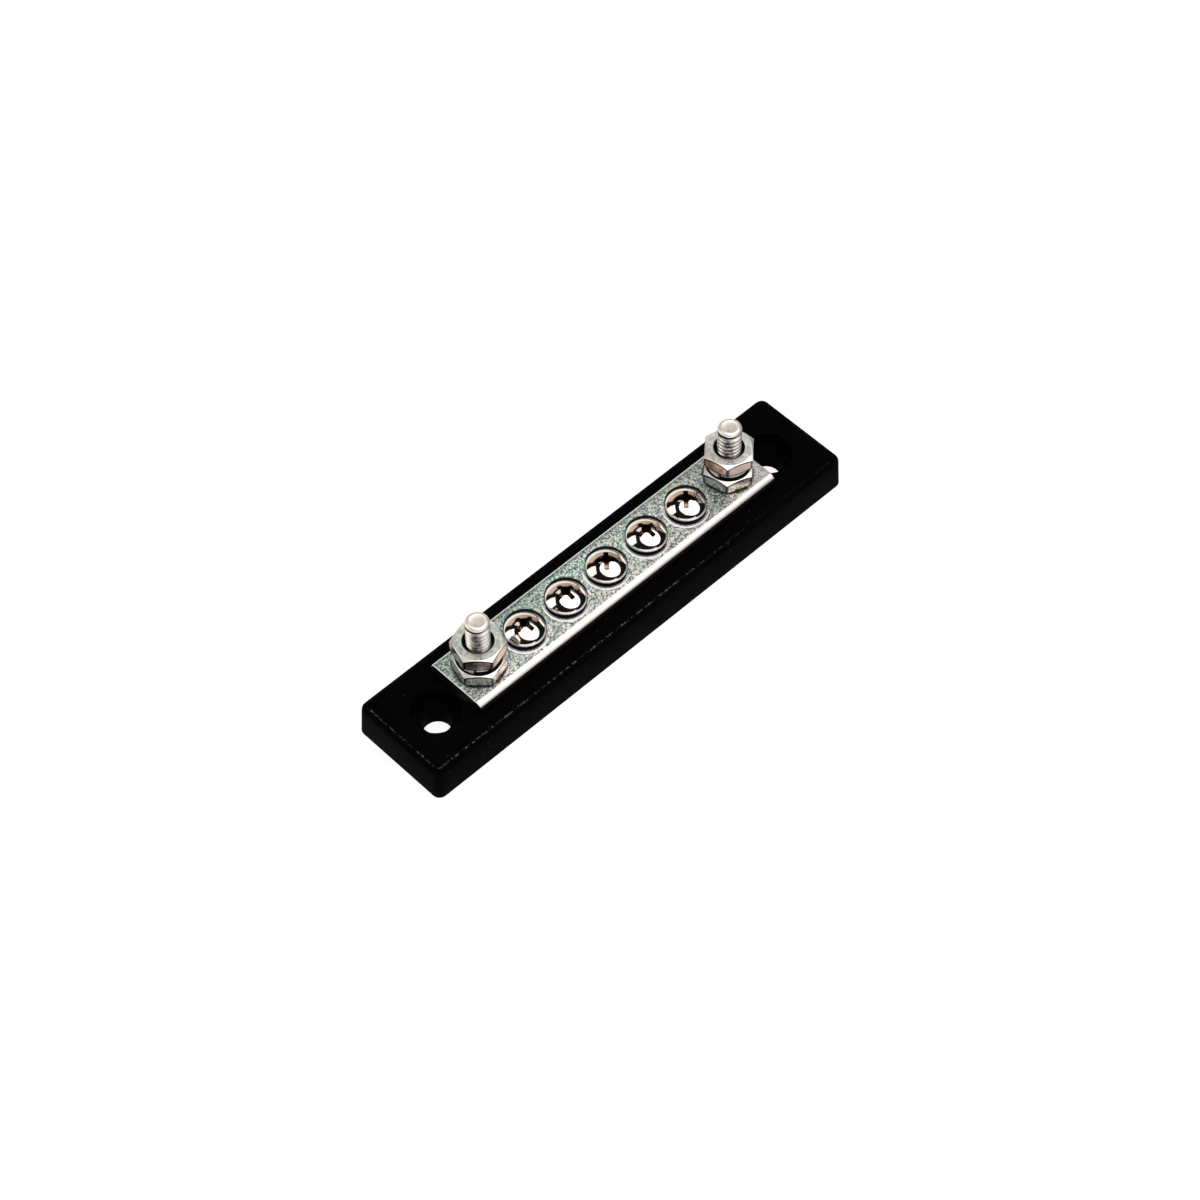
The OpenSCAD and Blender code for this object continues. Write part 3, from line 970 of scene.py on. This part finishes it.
def nut_finish(end, x):
    """Plated nut: satin faces, sides with dark borders and painted light on those that face right, a dark
    bore, and painted shade on the seats under the spring washer.
    """
    material, tree, shader, place = new_finish(f"nut_plating_{end}", (x, 0, BAR_TOP))
    first = end == ENDS[0]
    normal = put(tree, "NewGeometry").outputs["Normal"]
    up = size_of(tree, split(tree, normal)["Z"])
    radius = length(tree, in_plan(tree, place))
    height = split(tree, place)["Z"]
    lift = UPPER_NUT_Z - BAR_TOP
    upper = math_node(tree, "GREATER_THAN", height, (NUT_T + lift) / 2)
    own_height = minus(tree, height, times(tree, upper, lift))
    drop = times(tree, minus(tree, radius, NUT_FACE_R), math.tan(NUT_CHAMFER))
    from_top = minus(tree, minus(tree, NUT_T, drop), own_height)
    from_foot = minus(tree, own_height, drop)
    border = largest(tree, ramp(tree, radius, 5.22, 5.38), ramp(tree, from_top, 0.5, 0.32),
                     ramp(tree, from_foot, 0.4, 0.22))
    border = times(tree, border, ramp(tree, up, 0.35, 0.2, 0.0, 0.92))
    patches = effect(tree, "uneven", Vector=place, Patches=0.45, Grain=3.5)
    flecks = ramp(tree, noise(tree, place, 1.5, roughness=0.6), 0.38, 0.62)
    dim, pale = (0.58, 0.57, 0.53), (0.84, 0.84, 0.77)
    if first:
        dim, pale = (0.46, 0.50, 0.43), (0.74, 0.75, 0.68)
    # Painted shade: the faces under and over the spring washer are darkened.
    seats = band(tree, height, NUT_T - 0.3, NUT_T - 0.1, lift + 0.1, lift + 0.3)
    satin = blend(tree, seats, blend(tree, flecks, dim, pale), (0.03, 0.027, 0.026))
    peach = blend(tree, patches, (0.80, 0.64, 0.53), (0.97, 0.84, 0.74))
    brown = blend(tree, patches, (0.42, 0.30, 0.25), (0.62, 0.49, 0.43))
    teal = blend(tree, patches, (0.42, 0.45, 0.42), (0.62, 0.62, 0.57))
    # Painted light: on the lower nuts, sides that face right are painted peach, the others teal.
    painted_lit_side = ramp(tree, dot(tree, normal, RIGHT), 0.1, 0.4)
    bevel = ramp(tree, up, 0.3, 0.5)
    side = blend(tree, upper, blend(tree, painted_lit_side, teal, peach), peach if first else brown)
    side = blend(tree, bevel, side, (0.97, 0.93, 0.88))
    side = blend(tree, border, side, (0.03, 0.022, 0.026))
    face = ramp(tree, up, 0.93, 0.985)
    bore = ramp(tree, radius, NUT_SINK_R + 0.12, NUT_SINK_R - 0.02)
    side_rough = mix_value(tree, bevel, ramp(tree, patches, 0.0, 1.0, 0.16, 0.24), 0.4)
    face_rough = ramp(tree, patches, 0.0, 1.0, 0.42, 0.5)
    rings = effect(tree, "rings", Vector=place, Pitch=0.22)
    set_inputs(tree, shader, {
        "Base Color": blend(tree, bore, blend(tree, face, side, satin), (0.012, 0.01, 0.013)),
        "Metallic": 1.0,
        "Roughness": mix_value(tree, face, side_rough, face_rough),
        "Normal": bump(tree, times(tree, rings, face), 0.004, 0.25),
    })
    return material


def stud_finish(end, x):
    """Rolled thread in pale metal with a painted dark reflection down its front, painted shade in its roots
    and a painted highlight on its top ridge, and a pale cap above a groove painted dark as shade.
    """
    material, tree, shader, place = new_finish(f"stud_plating_{end}", (x, 0, BAR_TOP))
    dark_reflection_low, root_dark = (0.35, 0.4) if end == ENDS[0] else (0.15, 0.85)
    plan = in_plan(tree, place)
    radius = length(tree, plan)
    round_about = put(tree, "VectorMath", {0: plan}, operation="NORMALIZE").outputs[0]
    behind, beside = bearings(tree, round_about)
    height = split(tree, place)["Z"]
    rim_z = stud_high.z - BAR_TOP - TIP_CHAMFER
    cap = ramp(tree, height, rim_z + 0.02, rim_z + 0.12)
    neck = ramp(tree, height, rim_z - 0.8, rim_z - 0.7)
    depth = ramp(tree, radius, CREST_R - 0.06, ROOT_R + 0.08, 0.0, root_dark)
    patches = effect(tree, "uneven", Vector=place, Patches=0.6, Grain=4.0)
    grey = blend(tree, patches, (0.78, 0.71, 0.63), (1.0, 0.94, 0.86))
    # Painted reflection: a dark stripe down the front of the thread.
    dark_reflection = times(tree, ramp(tree, size_of(tree, beside), 0.5, 0.18), ramp(tree, behind, -0.3, -0.7),
                   ramp(tree, patches, 0.3, 0.7, 0.9, dark_reflection_low))
    grey = blend(tree, dark_reflection, grey, (0.12, 0.10, 0.15))
    # Painted highlight: a bright band on the first ridge below the groove.
    ridge_highlight = times(tree, ramp(tree, height, rim_z - 1.4, rim_z - 1.2), ramp(tree, neck, 0.5, 0.0))
    grey = blend(tree, times(tree, ridge_highlight, 0.9), grey, (1.0, 0.97, 0.95))
    # Painted shade: the thread roots and the groove under the cap are darkened.
    root = largest(tree, times(tree, depth, ramp(tree, ridge_highlight, 0.0, 1.0, 1.0, 0.25)), neck)
    grey = blend(tree, root, grey, (0.03, 0.024, 0.03))
    dish = times(tree, ramp(tree, radius, 1.5, 1.1), ramp(tree, patches, 0.35, 0.65), 0.6)
    pale = blend(tree, patches, (0.92, 0.83, 0.74), (1.0, 0.98, 0.93))
    pale = blend(tree, dish, pale, (0.55, 0.44, 0.35))
    rings = effect(tree, "rings", Vector=place, Pitch=0.3)
    set_inputs(tree, shader, {
        "Base Color": blend(tree, cap, grey, pale),
        "Metallic": 1.0,
        "Roughness": mix_value(tree, cap, ramp(tree, patches, 0.0, 1.0, 0.3, 0.42), 0.5),
        "Normal": bump(tree, rings, 0.003, 0.2),
    })
    return material


def washer_finish(end, x):
    """Spring steel with a dull, uneven plating."""
    material, tree, shader, place = new_finish(f"spring_plating_{end}", (x, 0, BAR_TOP))
    patches = effect(tree, "uneven", Vector=place, Patches=0.7, Grain=4.0)
    scratches = effect(tree, "scratches", Vector=place, Amount=0.6)
    dull = blend(tree, patches, (0.55, 0.53, 0.50), (1.0, 0.98, 0.94))
    set_inputs(tree, shader, {
        "Base Color": blend(tree, scratches, dull, (0.60, 0.57, 0.53)),
        "Metallic": 1.0,
        "Roughness": ramp(tree, patches, 0.0, 1.0, 0.66, 0.8),
        "Normal": bump(tree, patches, 0.01, 0.4),
    })
    return material


# Camera, floor and light
def make_camera():
    look = AWAY * math.cos(CAMERA_PITCH) - UP * math.sin(CAMERA_PITCH)
    level_up = RIGHT.cross(look)
    side = RIGHT * math.cos(CAMERA_ROLL) + level_up * math.sin(CAMERA_ROLL)
    top = level_up * math.cos(CAMERA_ROLL) - RIGHT * math.sin(CAMERA_ROLL)
    data = bpy.data.cameras.new("photo_camera")
    data.sensor_width = SENSOR
    data.lens = FOCAL_PX / FRAME_PX * SENSOR
    data.clip_start = 0.01
    camera = bpy.data.objects.new("photo_camera", data)
    bpy.context.scene.collection.objects.link(camera)
    turn = Matrix((side, top, -look)).transposed().to_4x4()
    camera.matrix_world = Matrix.Translation(CAMERA_AT * MM) @ turn
    bpy.context.scene.camera = camera


def make_floor():
    """Floor that shows white with a faint shadow of the object, and dark in mirrors far out on the right."""
    bpy.ops.object.select_all(action="DESELECT")
    bpy.ops.mesh.primitive_plane_add(size=FLOOR_SIZE)
    floor = bpy.context.object
    floor.name = "studio_floor"
    material = bpy.data.materials.new("white_floor")
    material.use_nodes = True
    tree = material.node_tree
    tree.nodes.remove(tree.nodes["Principled BSDF"])
    rays = put(tree, "LightPath").outputs
    seen = largest(tree, rays["Is Camera Ray"], rays["Is Glossy Ray"], rays["Is Transmission Ray"])
    place = put(tree, "TexCoord").outputs["Object"]
    far = ramp(tree, length(tree, place), 0.07, 0.12)
    dark = times(tree, band(tree, turn_of(tree, place), 24, 36, 112, 124), far, rays["Is Glossy Ray"])
    strength = ramp(tree, dark, 0.0, 1.0, FLOOR_GLOW, FLOOR_DARK)
    plain = put(tree, "BsdfDiffuse", {"Color": (0.8, 0.8, 0.8, 1)}).outputs[0]
    faint = put(tree, "BsdfDiffuse", {"Color": (FLOOR_SHADE, FLOOR_SHADE, FLOOR_SHADE, 1)}).outputs[0]
    glow = put(tree, "Emission", {"Color": (1, 1, 1, 1), "Strength": strength}).outputs[0]
    white = put(tree, "AddShader", {0: faint, 1: glow}).outputs[0]
    shown = put(tree, "MixShader", {0: seen, 1: plain, 2: white}).outputs[0]
    tree.links.new(shown, tree.nodes["Material Output"].inputs["Surface"])
    floor.data.materials.append(material)


def make_world():
    """Dark room: a warm wall behind the object, paler patches above it and a low white screen in front."""
    world = bpy.data.worlds.new("studio")
    bpy.context.scene.world = world
    world.use_nodes = True
    tree = world.node_tree
    way = put(tree, "TexCoord").outputs["Generated"]
    turn = turn_of(tree, way)
    rise = math_node(tree, "DEGREES", math_node(tree, "ARCSINE", split(tree, way)["Z"]))

    def patch(turns, rises):
        """1 in a patch of the room, with soft borders; four angles each way."""
        return times(tree, band(tree, turn, *turns), band(tree, rise, *rises))

    warm = blend(tree, ramp(tree, turn, -40, 25), (0.66, 0.54, 0.46), (0.40, 0.32, 0.27))
    wall = patch((-56, -48, 28, 40), (-20, -10, 22, 29))
    grey_patch = patch((-30, -14, 36, 52), (37, 44, 62, 70))
    white_patch = patch((-50, -44, -24, -14), (35, 40, 56, 66))
    screen_rises = (-4, 0, 26, 30)
    right_screen = patch((126, 132, 190, 191), screen_rises)
    screen = largest(tree, right_screen, patch((-191, -190, -150, -140), screen_rises))
    room = blend(tree, wall, (0.008, 0.008, 0.01), warm)
    room = blend(tree, grey_patch, room, (0.44, 0.45, 0.43))
    room = blend(tree, white_patch, room, (0.95, 0.93, 0.92))
    room = blend(tree, screen, room, (1.0, 0.98, 0.97))
    set_inputs(tree, tree.nodes["Background"], {"Color": room, "Strength": 1.0})


def soft_box(name, place, aim, size, radiance, shape):
    """An area lamp in metres, its power worked out from the brightness of its face."""
    width, height = size
    data = bpy.data.lights.new(name, "AREA")
    data.shape = shape
    data.size = width
    data.size_y = height
    area = width * height * (math.pi / 4 if shape == "ELLIPSE" else 1)
    data.energy = radiance * math.pi * area
    lamp = bpy.data.objects.new(name, data)
    bpy.context.scene.collection.objects.link(lamp)
    back = (place - aim).normalized()
    side = RIGHT - back * RIGHT.dot(back)
    if side.length < 0.2:
        side = AWAY - back * AWAY.dot(back)
    side.normalize()
    turn = Matrix((side, back.cross(side), back)).transposed().to_4x4()
    lamp.matrix_world = Matrix.Translation(place) @ turn
    lamp.visible_camera = False


def make_light():
    """A large oval lamp above the object, towards the right, and a smaller one low on the left."""
    key_at = UP * KEY_UP + RIGHT * KEY_RIGHT - AWAY * KEY_NEAR
    soft_box("key_box", key_at, key_at - UP, KEY_SIZE, KEY_GLOW, "ELLIPSE")
    level = AWAY * math.cos(LEFT_TURN) + RIGHT * math.sin(LEFT_TURN)
    left_at = (level * math.cos(LEFT_RISE) + UP * math.sin(LEFT_RISE)) * LEFT_REACH
    soft_box("left_box", left_at, Vector((0, 0, 0)), LEFT_SIZE, LEFT_GLOW, "RECTANGLE")


def assemble():
    make_camera()
    make_floor()
    make_world()
    make_light()
    make_base(plastic_finish())
    make_bar(tin_finish())
    make_screws([screw_finish(i + 1, x) for i, x in enumerate(SCREW_X)])
    make_stacks(
        [stud_finish(end, x) for end, x in zip(ENDS, STUD_X)],
        [nut_finish(end, x) for end, x in zip(ENDS, STUD_X)],
        [washer_finish(end, x) for end, x in zip(ENDS, STUD_X)],
    )
    bpy.context.scene.view_settings.view_transform = "Standard"


assemble()
